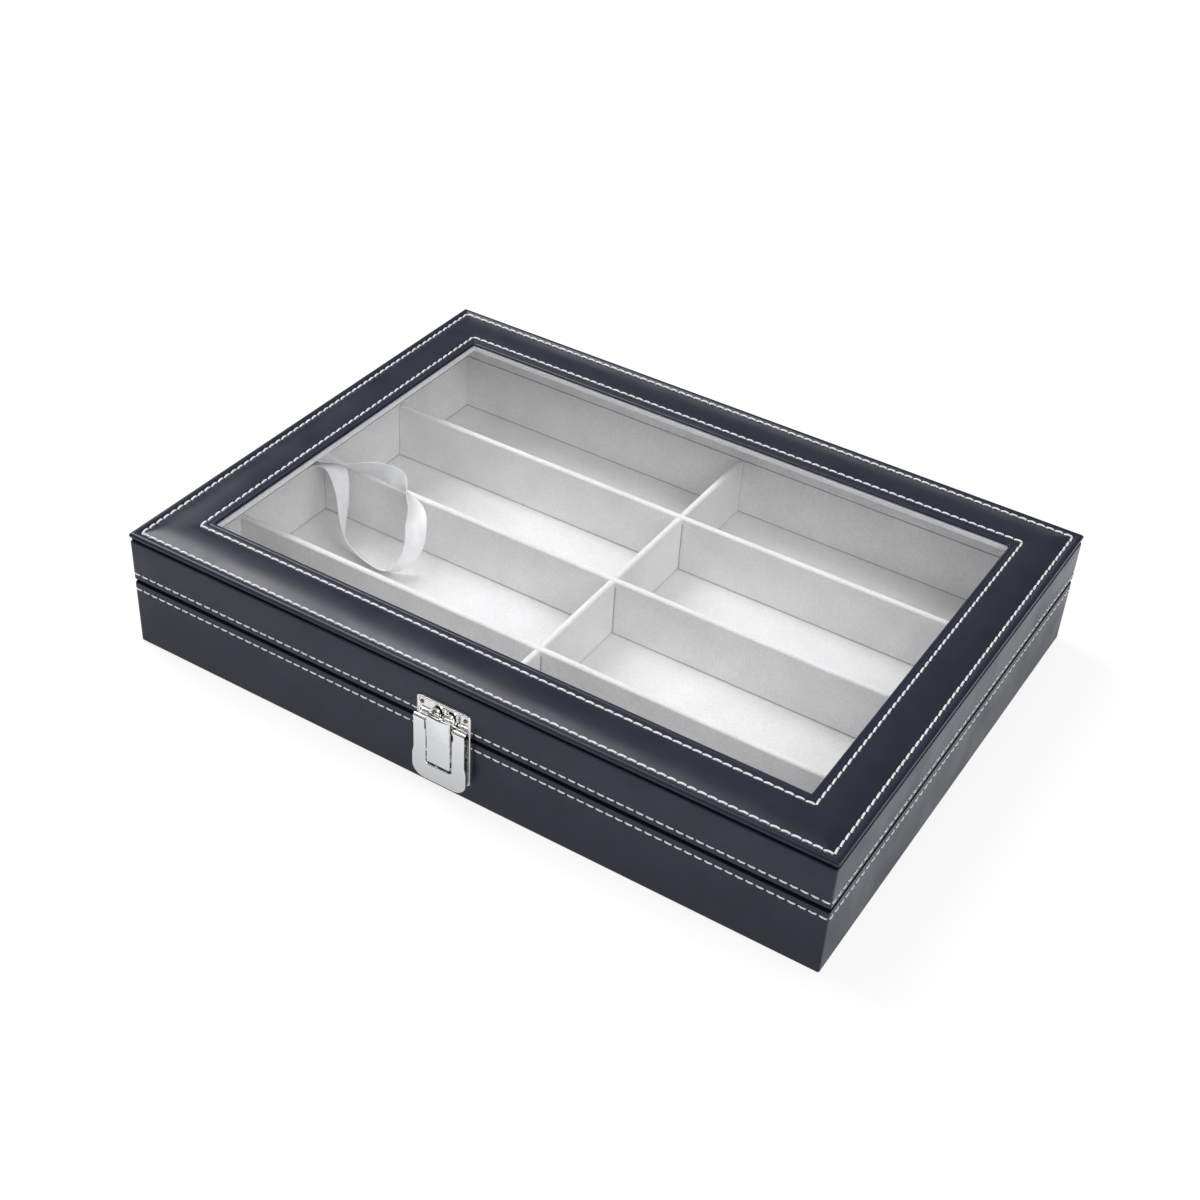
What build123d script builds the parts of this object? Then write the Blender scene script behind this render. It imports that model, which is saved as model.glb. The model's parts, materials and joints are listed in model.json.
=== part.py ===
from build123d import *
from math import cos, radians, sin
import os

# Eyeglasses display box: a leather-covered case with a window lid over velvet compartments.
# Millimetres. The origin is the bottom centre of the case, +X runs along the hinges,
# +Y points to the hinged back and +Z up.

# Case
case_length = 335.0
case_depth = 245.0
base_height = 33.5
lid_height = 24.1
seam_gap = 0.4

# Build-up of the walls, from the outside in
leather_t = 0.8
fold_t = 1.6
board_t = 4.2
lining_t = 1.0
corner_r = 1.6
rim_r = 1.3
wrap_lift = 0.3
lining_drop = 0.2

# Build-up of the floor
cover_t = 0.8
bottom_t = 2.4
pad_t = 0.8

# Build-up of the lid's top
top_t = 0.8
rail_t = 3.6
trim_t = 0.6
glass_t = 2.0
window_inset_x = 24.4
window_inset_y = 26.9
ledge_w = 5.2
glass_clearance = 0.2
bead_w = 0.3
bead_h = 1.6
bead_top_r = 0.6
bead_foot_r = 0.15
lip_r = 0.3
crown_inset = 4.6
crown_to_window = 4.8
crown_h = 0.8
crown_r = 0.7
crown_corner_r = 3.0
foam_margin = 0.8

# Compartments
rows = 4
columns = 2
divider_t = 3.2
divider_drop = 0.2
divider_end_gap = 0.3
slot_clearance = 0.1

# Hinges
hinge_x = 95.0
hinge_w = 30.0
leaf_h = 11.5
leaf_t = 0.9
leaf_corner_r = 2.0
barrel_r = 1.7
barrel_gap = 0.3
knuckle_gap = 0.2
hinge_pin_r = 0.8
pin_clearance = 0.05
hinge_nail_x = 9.5
hinge_nail_z = 8.0

# Nails
nail_r = 0.6
nail_clearance = 0.05
nail_skin = 0.8
nail_head_r = 0.9
nail_head_t = 0.5
nail_dome_r = 0.35

# Latch plates. Depths are measured outwards from the case's front face.
latch_x = -3.0
plate_w = 26.0
plate_t = 0.8
plate_corner_r = 1.8
plate_gap = 0.2
base_plate_h = 24.7
strike_plate_h = 12.3
strike_nail_x = 10.45
strike_nail_z = 9.25
base_nail_x = 9.5
base_nail_z = 17.0
ledge_t = 2.0
ledge_gap = 0.5
ledge_r = 0.4
hump_w = 4.6
hump_x = 3.3
hump_t = 1.2
hump_gap = 0.6
hump_rise = 4.0
hump_root = 0.5

# Latch lever, a U frame that turns on two short pins
pin_rise = 3.0
pin_depth = 2.9
latch_pin_r = 0.75
pin_inset = 1.2
lever_knuckle_r = 1.6
lever_t = 1.0
lever_w = 24.8
lever_foot_w = 26.3
lever_drop = 30.5
neck_drop = 15.7
bulge_drop = 19.2
neck_r = 4.0
foot_r = 6.0
foot_h = 8.4
window_corner_r = 1.6
lever_edge_r = 0.45
ear_t = 0.9
ear_gap = 0.35
ear_r = 1.05
ear_foot_low = 10.7
ear_foot_high = 5.2
notch_drop = 3.7
notch_gap = 0.2

# Latch link, the plate between the lever's legs
link_w = 11.0
link_t = 0.8
link_side_gap = 0.8
link_proud = 0.2
link_pin_drop = 19.7
link_pin_r = 0.5
link_knuckle_r = 1.1
link_foot_drop = 0.4
link_top_rise = 4.3
link_sag = 0.5
lip_reach = 1.8
lip_t = 0.8
lip_gap = 0.2
lip_edge_r = 0.3
notch_margin = 0.25
notch_depth = 2.4
link_ear_t = 0.7
link_ear_r = 1.0

# Ribbon stay, lying in a loop in the compartment left of the middle
ribbon_w = 10.0
ribbon_t = 0.4
ribbon_lean = 25.0
ribbon_y = -7.5
ribbon_reach = 62.0
ribbon_tab = 7.0
ribbon_tab_gap = 0.5
ribbon_rise = 9.5
ribbon_clearance = 0.3
# Corners of its loop as shares: out along the floor (of the reach and the drop), then back
# above it (of the reach and the rise)
ribbon_way_out = ((0.14, 0.7), (0.32, 1.0), (0.86, 1.0), (1.0, 0.6))
ribbon_way_back = ((0.97, 0.3), (0.78, 1.0), (0.36, 0.9), (0.0, 0.2))
ribbon_bend_rs = [4.0, 8.0, 8.0, 8.0, 8.0, 6.0, 6.0, 10.0, 0.8]

# Heights
floor_z = cover_t + bottom_t + pad_t
seam_z = base_height + seam_gap / 2
lid_bottom = base_height + seam_gap
lid_top = lid_bottom + lid_height
rail_top = lid_top - top_t
rail_bottom = rail_top - rail_t
trim_bottom = rail_bottom - trim_t
glass_bottom = rail_top - glass_t
ledge_z = glass_bottom - trim_t

# Plan sizes, each a (length, depth) pair about the origin
outer = (case_length, case_depth)


def grown(size, margin):
    """A plan size made larger by a margin on every side."""
    return (size[0] + 2 * margin, size[1] + 2 * margin)


board_out = grown(outer, -leather_t)
board_in = grown(board_out, -board_t)
room = grown(board_in, -lining_t)
window = (case_length - 2 * window_inset_x, case_depth - 2 * window_inset_y)
rail_in = grown(window, trim_t)
rebate = grown(window, ledge_w)
glass_size = grown(rebate, -glass_clearance)
bead_out = grown(outer, bead_w)
crown_out = grown(outer, -crown_inset)
crown_in = grown(window, crown_to_window)

# Hinge axis and latch depths
hinge_y = case_depth / 2 + barrel_gap + barrel_r
knuckle_l = (hinge_w - 2 * knuckle_gap) / 3
nail_depth = leather_t + board_t - nail_skin
pin_z = seam_z + pin_rise
lever_front = pin_depth + lever_knuckle_r
lever_back = lever_front - lever_t
link_front = lever_front + link_proud
link_back = link_front - link_t
link_pin_z = pin_z - link_pin_drop
link_top = pin_z + link_top_rise
ledge_top = link_top - link_sag - lip_t - lip_gap
ear_in = link_w / 2 + ear_gap
ear_out = ear_in + ear_t

os.makedirs("parts", exist_ok=True)


def save(piece, name):
    """Label a finished piece and write it."""
    piece.part.label = name
    export_step(piece.part, f"parts/{name}.step")


def block(x, y, z, mode=Mode.ADD):
    """A box between the low and high limits of x, y and z."""
    limits = (x, y, z)
    with Locations(tuple((low + high) / 2 for low, high in limits)):
        Box(*[high - low for low, high in limits], mode=mode)


def ring(size, hole, bottom, top, corner=0.0, hole_corner=0.0, mode=Mode.ADD):
    """A flat ring about the origin between two heights, with square or rounded corners."""
    with BuildSketch(Plane.XY.offset(bottom)) as plan:
        for extent, radius, part_mode in ((size, corner, Mode.ADD), (hole, hole_corner, Mode.SUBTRACT)):
            if radius > 0:
                RectangleRounded(*extent, radius, mode=part_mode)
            else:
                Rectangle(*extent, mode=part_mode)
    extrude(plan.sketch, amount=top - bottom, mode=mode)


def rods(places, radius, start, end, mode=Mode.ADD):
    """Round rods or holes along Y from one depth to another, at (x, z) places."""
    with BuildSketch(Plane.XZ.offset(-start)) as spots:
        with Locations(*places):
            Circle(radius)
    extrude(spots.sketch, amount=start - end, mode=mode)


def nail_holes(places, outward, seat):
    """Nail holes from a seat face into the board's depth."""
    bottom = outward * (case_depth / 2 - nail_depth - nail_clearance)
    rods(places, nail_r + nail_clearance, seat, bottom, mode=Mode.SUBTRACT)


def nails(places, outward, plate):
    """Dome-headed nails that hold a plate of a given thickness on the front or back face."""
    seat = outward * (case_depth / 2 + plate)
    rods(places, nail_r, seat, outward * (case_depth / 2 - nail_depth))
    rods(places, nail_head_r, seat, seat + outward * nail_head_t)
    rims = edges().filter_by(GeomType.CIRCLE).group_by(Axis.Y)
    fillet(rims[-1] if outward > 0 else rims[0], nail_dome_r)


# Where the nails stand, as (x, z)
hinge_nail_xs = [side * hinge_x + across * hinge_nail_x for side in (-1, 1) for across in (-1, 1)]
base_hinge_nails = [(x, seam_z - hinge_nail_z) for x in hinge_nail_xs]
lid_hinge_nails = [(x, seam_z + hinge_nail_z) for x in hinge_nail_xs]
base_latch_nails = [(latch_x + side * base_nail_x, seam_z - base_nail_z) for side in (-1, 1)]
strike_nails = [(latch_x + side * strike_nail_x, seam_z + strike_nail_z) for side in (-1, 1)]


def side_limits(side, sign, out_size, in_size, long_sides):
    """Plan limits of one of four walls that butt at the corners."""
    axis = 1 if side in ("front", "back") else 0
    across = sorted((sign * in_size[axis] / 2, sign * out_size[axis] / 2))
    run = out_size[1 - axis] if side in long_sides else in_size[1 - axis]
    along = (-run / 2, run / 2)
    return (along, across) if axis == 1 else (across, along)


walls = (("front", -1), ("back", 1), ("left", -1), ("right", 1))
front_and_back = ("front", "back")

# Boards of the base and the lid, nailed through at the front and the back
board_levels = (
    ("base", cover_t, base_height - fold_t, base_latch_nails, base_hinge_nails),
    ("lid", lid_bottom + fold_t, rail_bottom, strike_nails, lid_hinge_nails),
)
for level, bottom, top, front_nails, back_nails in board_levels:
    for side, sign in walls:
        x, y = side_limits(side, sign, board_out, board_in, front_and_back)
        with BuildPart() as board:
            block(x, y, (bottom, top))
            if side in front_and_back:
                places = front_nails if sign < 0 else back_nails
                nail_holes(places, sign, sign * case_depth / 2)
        save(board, f"{level}_{side}_board")

# Velvet linings of the base and the lid
lining_levels = (
    ("base", floor_z, base_height - lining_drop),
    ("lid", lid_bottom + lining_drop, trim_bottom),
)
for level, bottom, top in lining_levels:
    for side, sign in walls:
        x, y = side_limits(side, sign, board_in, room, front_and_back)
        with BuildPart() as lining:
            block(x, y, (bottom, top))
        save(lining, f"{level}_{side}_lining")

# Window rails: a rebate on top takes the trim's flange and the glass
for side, sign in walls:
    x, y = side_limits(side, sign, board_out, rail_in, front_and_back)
    with BuildPart() as rail:
        block(x, y, (rail_bottom, rail_top))
        half_l, half_w = (extent / 2 for extent in rebate)
        block((-half_l, half_l), (-half_w, half_w), (ledge_z, rail_top), mode=Mode.SUBTRACT)
    save(rail, f"window_{side}_rail")

# Leather of the base, folded over the rim
with BuildPart() as base_leather:
    ring(outer, board_out, wrap_lift, base_height - fold_t, corner=corner_r)
    ring(outer, board_in, base_height - fold_t, base_height, corner=corner_r)
    fillet(faces().sort_by(Axis.Z)[-1].outer_wire().edges(), rim_r)
    nail_holes(base_latch_nails, -1, -case_depth / 2)
    nail_holes(base_hinge_nails, 1, case_depth / 2)
save(base_leather, "base_leather")

# Leather of the lid's sides, folded under the rim
with BuildPart() as lid_side_leather:
    ring(outer, board_in, lid_bottom, lid_bottom + fold_t, corner=corner_r)
    ring(outer, board_out, lid_bottom + fold_t, rail_top, corner=corner_r)
    fillet(faces().sort_by(Axis.Z)[0].outer_wire().edges(), rim_r)
    nail_holes(strike_nails, -1, -case_depth / 2)
    nail_holes(lid_hinge_nails, 1, case_depth / 2)
save(lid_side_leather, "lid_side_leather")

# Floor: cover sheet, board and velvet pad
floor_layers = (
    ("bottom_cover", board_out, 0.0, cover_t),
    ("bottom_board", board_in, cover_t, cover_t + bottom_t),
    ("floor_pad", board_in, cover_t + bottom_t, floor_z),
)
for name, size, bottom, top in floor_layers:
    half_l, half_w = (extent / 2 for extent in size)
    with BuildPart() as layer:
        block((-half_l, half_l), (-half_w, half_w), (bottom, top))
    save(layer, name)

# Dividers, half-lapped: the long one is slotted from above and the cross ones from below
cell_depth = (room[1] - (rows - 1) * divider_t) / rows
cell_length = (room[0] - (columns - 1) * divider_t) / columns
cross_ys = [-room[1] / 2 + n * (cell_depth + divider_t) - divider_t / 2 for n in range(1, rows)]
long_xs = [-room[0] / 2 + n * (cell_length + divider_t) - divider_t / 2 for n in range(1, columns)]
divider_top = base_height - divider_drop
lap_z = (floor_z + divider_top) / 2
slot_half = divider_t / 2 + slot_clearance
half_run_x = room[0] / 2 - divider_end_gap
half_run_y = room[1] / 2 - divider_end_gap

for number, x in enumerate(long_xs, start=1):
    with BuildPart() as long_divider:
        across = (x - divider_t / 2, x + divider_t / 2)
        block(across, (-half_run_y, half_run_y), (floor_z, divider_top))
        for y in cross_ys:
            block(across, (y - slot_half, y + slot_half), (lap_z, divider_top), mode=Mode.SUBTRACT)
    save(long_divider, f"long_divider_{number}")

for number, y in enumerate(cross_ys, start=1):
    with BuildPart() as cross_divider:
        across = (y - divider_t / 2, y + divider_t / 2)
        block((-half_run_x, half_run_x), across, (floor_z, divider_top))
        for x in long_xs:
            block((x - slot_half, x + slot_half), across, (floor_z, lap_z), mode=Mode.SUBTRACT)
    save(cross_divider, f"cross_divider_{number}")

# Velvet trim of the window: under the rails, up their inner edge and onto the glass ledge
with BuildPart() as window_trim:
    ring(board_in, window, trim_bottom, rail_bottom)
    ring(rail_in, window, rail_bottom, glass_bottom)
    ring(rebate, rail_in, ledge_z, glass_bottom)
save(window_trim, "window_trim")

with BuildPart() as glass:
    half_l, half_w = (extent / 2 for extent in glass_size)
    block((-half_l, half_l), (-half_w, half_w), (glass_bottom, rail_top))
save(glass, "glass")

# Foam and leather of the lid's top: a bead round the outside and a crowned band
foam_out = grown(crown_out, -foam_margin)
foam_in = grown(crown_in, foam_margin)
with BuildPart() as foam_pad:
    ring(foam_out, foam_in, rail_top, lid_top)
save(foam_pad, "foam_pad")

with BuildPart() as lid_top_leather:
    bead_corner_r = corner_r + bead_w
    ring(bead_out, window, rail_top, lid_top, corner=bead_corner_r)
    ring(bead_out, outer, lid_top - bead_h, rail_top, corner=bead_corner_r, hole_corner=corner_r)
    fillet(faces().sort_by(Axis.Z)[-1].outer_wire().edges(), bead_top_r)
    fillet(faces().sort_by(Axis.Z)[0].outer_wire().edges(), bead_foot_r)
    fillet(faces().sort_by(Axis.Z)[-1].inner_wires()[0].edges(), lip_r)
    ring(crown_out, crown_in, lid_top, lid_top + crown_h, corner=crown_corner_r)
    fillet(faces().sort_by(Axis.Z)[-1].edges(), crown_r)
    ring(foam_out, foam_in, rail_top, lid_top, mode=Mode.SUBTRACT)
save(lid_top_leather, "lid_top_leather")


def barrel(x, length, radius, mode=Mode.ADD):
    """A cylinder on the back hinges' axis."""
    with BuildSketch(Plane.YZ.offset(x)) as section:
        with Locations((hinge_y, seam_z)):
            Circle(radius)
    extrude(section.sketch, amount=length / 2, both=True, mode=mode)


# Hinges: outer knuckles on the base leaf, the middle knuckle on the lid leaf
leaf_y = (case_depth / 2, case_depth / 2 + leaf_t)
cut_back = barrel_r + barrel_gap
outer_knuckle = knuckle_l + knuckle_gap
for name, x in (("left", -hinge_x), ("right", hinge_x)):
    full = (x - hinge_w / 2, x + hinge_w / 2)
    middle = (x - knuckle_l / 2, x + knuckle_l / 2)
    middle_slot = (middle[0] - knuckle_gap, middle[1] + knuckle_gap)
    with BuildPart() as base_leaf:
        block(full, leaf_y, (seam_z - leaf_h, seam_z - seam_gap / 2))
        fillet(edges().filter_by(Axis.Y).group_by(Axis.Z)[0], leaf_corner_r)
        block(middle_slot, leaf_y, (seam_z - cut_back, seam_z), mode=Mode.SUBTRACT)
        for side in (-1, 1):
            barrel(x + side * outer_knuckle, knuckle_l, barrel_r)
        barrel(x, hinge_w, hinge_pin_r + pin_clearance, mode=Mode.SUBTRACT)
        nail_holes(base_hinge_nails, 1, leaf_y[1])
    save(base_leaf, f"hinge_base_leaf_{name}")
    with BuildPart() as lid_leaf:
        block(full, leaf_y, (seam_z + cut_back, seam_z + leaf_h))
        fillet(edges().filter_by(Axis.Y).group_by(Axis.Z)[-1], leaf_corner_r)
        block(middle, leaf_y, (seam_z + seam_gap / 2, seam_z + cut_back))
        barrel(x, knuckle_l, barrel_r)
        barrel(x, knuckle_l, hinge_pin_r + pin_clearance, mode=Mode.SUBTRACT)
        nail_holes(lid_hinge_nails, 1, leaf_y[1])
    save(lid_leaf, f"hinge_lid_leaf_{name}")
    with BuildPart() as hinge_pin:
        barrel(x, hinge_w, hinge_pin_r)
    save(hinge_pin, f"hinge_pin_{name}")

nail_sets = (
    ("hinge_base_nails", base_hinge_nails, 1, leaf_t),
    ("hinge_lid_nails", lid_hinge_nails, 1, leaf_t),
    ("latch_base_nails", base_latch_nails, -1, plate_t),
    ("latch_strike_nails", strike_nails, -1, plate_t),
)
for name, places, outward, plate in nail_sets:
    with BuildPart() as nail_set:
        nails(places, outward, plate)
    save(nail_set, name)


def front_plane(depth):
    """A plane parallel to the front face, its x across the latch and its y the height."""
    return Plane(origin=(latch_x, -case_depth / 2 - depth, 0), x_dir=(1, 0, 0), z_dir=(0, -1, 0))


def side_plane(across):
    """A plane square to the latch's pins, its x the depth outwards and its y the height."""
    return Plane(origin=(latch_x + across, -case_depth / 2, 0), x_dir=(0, -1, 0), z_dir=(-1, 0, 0))


def latch_rod(depth, height, radius, low, high, mode=Mode.ADD):
    """A cylinder across the latch between two places across it."""
    with BuildSketch(side_plane((low + high) / 2)) as section:
        with Locations((depth, height)):
            Circle(radius)
    extrude(section.sketch, amount=(high - low) / 2, both=True, mode=mode)


def latch_plate(bottom, top):
    """A flat plate with rounded corners on the front face."""
    with BuildSketch(front_plane(0)) as outline:
        with Locations((0, (bottom + top) / 2)):
            RectangleRounded(plate_w, top - bottom, plate_corner_r)
    extrude(outline.sketch, amount=plate_t)


# Latch base plate with the two ears that carry the lever
with BuildPart() as base_plate:
    latch_plate(seam_z - base_plate_h, base_height - plate_gap)
    for side in (-1, 1):
        with BuildSketch(side_plane(side * (ear_in + ear_out) / 2)) as ear:
            Polygon(
                (0, pin_z - ear_foot_low),
                (plate_t, pin_z - ear_foot_low),
                (pin_depth + ear_r, pin_z),
                (pin_depth - ear_r, pin_z),
                (plate_t, pin_z - ear_foot_high),
                (0, pin_z - ear_foot_high),
                align=None,
            )
            with Locations((pin_depth, pin_z)):
                Circle(ear_r)
        extrude(ear.sketch, amount=ear_t / 2, both=True)
    latch_rod(pin_depth, pin_z, latch_pin_r + pin_clearance, -ear_out, ear_out, mode=Mode.SUBTRACT)
    nail_holes(base_latch_nails, -1, -case_depth / 2 - plate_t)
save(base_plate, "latch_base_plate")

with BuildPart() as latch_pins:
    for side in (-1, 1):
        low, high = sorted((side * ear_in, side * (lever_w / 2 - pin_inset)))
        latch_rod(pin_depth, pin_z, latch_pin_r, low, high)
save(latch_pins, "latch_pins")

# Strike plate on the lid: a ledge under the link's lip and two round humps above it
hump_back = plate_t + hump_gap
hump_front = hump_back + hump_t
with BuildPart() as strike_plate:
    latch_plate(lid_bottom + plate_gap, seam_z + strike_plate_h)
    with BuildSketch(front_plane(0)) as ledge:
        with Locations((0, ledge_top - ledge_t / 2)):
            Rectangle(link_w, ledge_t)
    extrude(ledge.sketch, amount=link_back - ledge_gap)
    fillet(edges().filter_by(Axis.X).group_by(Axis.Y)[0], ledge_r)
    with BuildSketch(front_plane(hump_back)) as humps:
        with Locations(*[(side * hump_x, ledge_top + hump_rise - hump_w / 2) for side in (-1, 1)]):
            Circle(hump_w / 2)
        hump_foot = hump_rise - hump_w / 2 + hump_root
        with Locations(*[(side * hump_x, ledge_top + hump_foot / 2 - hump_root) for side in (-1, 1)]):
            Rectangle(hump_w, hump_foot)
    extrude(humps.sketch, amount=hump_t)
    nail_holes(strike_nails, -1, -case_depth / 2 - plate_t)
save(strike_plate, "latch_strike_plate")

# Lever
lever_window_w = link_w + 2 * link_side_gap
with BuildPart() as lever:
    with BuildSketch(front_plane(lever_back)) as frame:
        with BuildLine() as outline:
            right_side = FilletPolyline(
                (lever_w / 2, pin_z),
                (lever_w / 2, pin_z - neck_drop),
                (lever_foot_w / 2, pin_z - bulge_drop),
                (lever_foot_w / 2, pin_z - lever_drop),
                (0, pin_z - lever_drop),
                radius=[neck_r, neck_r, foot_r],
            )
            mirror(right_side, about=Plane.YZ)
            Line((-lever_w / 2, pin_z), (lever_w / 2, pin_z))
        make_face()
        with Locations((0, pin_z)):
            RectangleRounded(lever_window_w, 2 * (lever_drop - foot_h), window_corner_r, mode=Mode.SUBTRACT)
            Rectangle(2 * (ear_out + notch_gap), 2 * notch_drop, mode=Mode.SUBTRACT)
    extrude(frame.sketch, amount=lever_t)
    front_edges = faces().sort_by(Axis.Y)[0].edges()
    fillet(front_edges.filter_by(lambda edge: edge.center().Z < pin_z - lever_edge_r), lever_edge_r)
    for side in (-1, 1):
        low, high = sorted((side * (ear_out + notch_gap), side * lever_w / 2))
        latch_rod(pin_depth, pin_z, lever_knuckle_r, low, high)
        low, high = sorted((side * lever_window_w / 2, side * (lever_window_w / 2 + link_ear_t)))
        latch_rod(lever_back, link_pin_z, link_ear_r, low, high)
    latch_rod(pin_depth, pin_z, latch_pin_r + pin_clearance, -lever_w / 2, lever_w / 2, mode=Mode.SUBTRACT)
    pin_reach = lever_window_w / 2 + link_ear_t
    latch_rod(lever_back, link_pin_z, link_pin_r + pin_clearance, -pin_reach, pin_reach, mode=Mode.SUBTRACT)
save(lever, "latch_lever")

with BuildPart() as link_pin:
    latch_rod(lever_back, link_pin_z, link_pin_r, -pin_reach, pin_reach)
save(link_pin, "latch_link_pin")

# Link: a plate with a sagging top edge, bent back into a lip that is notched for the humps
with BuildPart() as link:
    half_link = link_w / 2
    with BuildSketch(front_plane(link_back)) as face_plate:
        with BuildLine():
            ThreePointArc((-half_link, link_top), (0, link_top - link_sag), (half_link, link_top))
            Polyline(
                (half_link, link_top),
                (half_link, link_pin_z - link_foot_drop),
                (-half_link, link_pin_z - link_foot_drop),
                (-half_link, link_top),
            )
        make_face()
    extrude(face_plate.sketch, amount=link_t)
    with BuildSketch(front_plane(link_back)) as lip:
        with BuildLine():
            ThreePointArc((-half_link, link_top), (0, link_top - link_sag), (half_link, link_top))
            Line((half_link, link_top), (half_link, link_top - lip_t))
            ThreePointArc(
                (half_link, link_top - lip_t),
                (0, link_top - link_sag - lip_t),
                (-half_link, link_top - lip_t),
            )
            Line((-half_link, link_top - lip_t), (-half_link, link_top))
        make_face()
    extrude(lip.sketch, amount=-lip_reach)
    fillet(edges().group_by(Axis.Z)[-1].sort_by(Axis.Y)[0], lip_edge_r)
    for side in (-1, 1):
        notch_ends = (hump_x - hump_w / 2 - notch_margin, hump_x + hump_w / 2 + notch_margin)
        low, high = sorted(side * end for end in notch_ends)
        with BuildSketch(front_plane(hump_front + notch_margin)) as notch:
            with Locations(((low + high) / 2, link_top)):
                Rectangle(high - low, 2 * (link_sag + lip_t + lip_gap))
        extrude(notch.sketch, amount=-notch_depth, mode=Mode.SUBTRACT)
    latch_rod(lever_back, link_pin_z, link_knuckle_r, -half_link, half_link)
    with BuildSketch(side_plane(0)) as web:
        with Locations(((lever_back + link_front) / 2, link_pin_z + (link_knuckle_r - link_foot_drop) / 2)):
            Rectangle(link_front - lever_back, link_knuckle_r + link_foot_drop)
    extrude(web.sketch, amount=half_link, both=True)
    latch_rod(lever_back, link_pin_z, link_pin_r + pin_clearance, -half_link, half_link, mode=Mode.SUBTRACT)
save(link, "latch_link")

# Ribbon stay: a flat band whose loop lies in a plane that leans to the back
lean = radians(ribbon_lean)
ribbon_plane = Plane(
    origin=(-room[0] / 2 + ribbon_t / 2, ribbon_y, seam_z),
    x_dir=(1, 0, 0),
    z_dir=(0, -cos(lean), sin(lean)),
)
edge_drop = ribbon_w / 2 * sin(lean) + ribbon_t / 2 + ribbon_clearance
ribbon_low = (floor_z + edge_drop - seam_z) / cos(lean)
with BuildPart() as ribbon_stay:
    with BuildSketch(ribbon_plane) as band:
        with BuildLine() as loop:
            FilletPolyline(
                (0, -ribbon_tab_gap),
                (0, -ribbon_tab_gap - ribbon_tab),
                *[(ribbon_reach * out, ribbon_low * down) for out, down in ribbon_way_out],
                *[(ribbon_reach * out, ribbon_rise * up) for out, up in ribbon_way_back],
                (0, ribbon_rise * ribbon_way_back[-1][1] + ribbon_tab),
                radius=ribbon_bend_rs,
            )
        trace(line_width=ribbon_t)
    extrude(band.sketch, amount=ribbon_w / 2, both=True)
save(ribbon_stay, "ribbon_stay")
print("ribbon length", round(sum(edge.length for edge in loop.edges()), 1))
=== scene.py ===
# %% [markdown]
# # Eyeglasses display box
# A case for spectacles: fibreboard walls wrapped in dark leatherette, a lid whose padded
# leather top frames a glass pane, grey-white velvet compartments, a chrome draw latch in front,
# two hinges behind and a white satin ribbon that stops the lid.
#
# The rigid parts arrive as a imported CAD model. This notebook dresses them: it replaces the plain
# blocks of leather, velvet and ribbon by soft shapes, sews the stitches and gives every surface
# a finish worked out from the real material.

# %% Load the frame
import math

import bmesh
import bpy
import numpy as np
from mathutils import Matrix, Vector, noise
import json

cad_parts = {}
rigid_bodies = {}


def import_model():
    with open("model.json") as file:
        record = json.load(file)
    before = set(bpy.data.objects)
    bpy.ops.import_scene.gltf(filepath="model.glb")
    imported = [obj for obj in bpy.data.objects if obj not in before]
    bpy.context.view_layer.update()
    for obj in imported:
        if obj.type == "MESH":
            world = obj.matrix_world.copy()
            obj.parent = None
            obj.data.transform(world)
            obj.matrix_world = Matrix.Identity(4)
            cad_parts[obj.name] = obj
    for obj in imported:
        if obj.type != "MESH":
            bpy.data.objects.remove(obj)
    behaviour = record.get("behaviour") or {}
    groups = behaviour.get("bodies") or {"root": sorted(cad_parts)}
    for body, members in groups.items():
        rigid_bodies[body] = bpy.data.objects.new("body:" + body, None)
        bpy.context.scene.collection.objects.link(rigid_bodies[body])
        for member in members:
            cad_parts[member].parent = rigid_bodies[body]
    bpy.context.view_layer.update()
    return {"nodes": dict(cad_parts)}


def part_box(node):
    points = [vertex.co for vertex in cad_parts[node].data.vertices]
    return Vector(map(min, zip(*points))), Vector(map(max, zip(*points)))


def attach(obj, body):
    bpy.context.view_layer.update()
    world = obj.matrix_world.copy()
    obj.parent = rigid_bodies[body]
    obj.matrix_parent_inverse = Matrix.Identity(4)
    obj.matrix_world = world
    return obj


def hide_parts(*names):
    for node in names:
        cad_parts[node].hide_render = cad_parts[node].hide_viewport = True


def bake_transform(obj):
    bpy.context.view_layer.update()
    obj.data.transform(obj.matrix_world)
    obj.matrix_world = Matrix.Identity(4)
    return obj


for leftover in list(bpy.data.objects):
    bpy.data.objects.remove(leftover)
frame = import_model()
nodes = frame["nodes"]

# %% [markdown]
# Blender works in metres and a case maker in millimetres, so every size below is in millimetres
# and is scaled once, when a mesh is made. The sizes that other pieces must meet are read
# from the CAD nodes: the case's outside and the seam between base and lid. The window's inset is given.

# %% Sizes from the CAD model
MM = 0.001


def limits(node):
    """Lowest and highest corner of a CAD node, in millimetres."""
    low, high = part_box(node)
    return low / MM, high / MM


base_low, base_high = limits("base_leather")
lid_low, lid_high = limits("lid_side_leather")
HALF_X, HALF_Y = base_high.x, base_high.y
RIM_Z, LID_Z, RAIL_Z = base_high.z, lid_low.z, lid_high.z
SEAM_Z = (RIM_Z + LID_Z) / 2
WINDOW_INSET = (24.4, 26.9)
print("case", [round(2 * v, 1) for v in (HALF_X, HALF_Y)], "seam at", round(SEAM_Z, 2))
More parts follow.
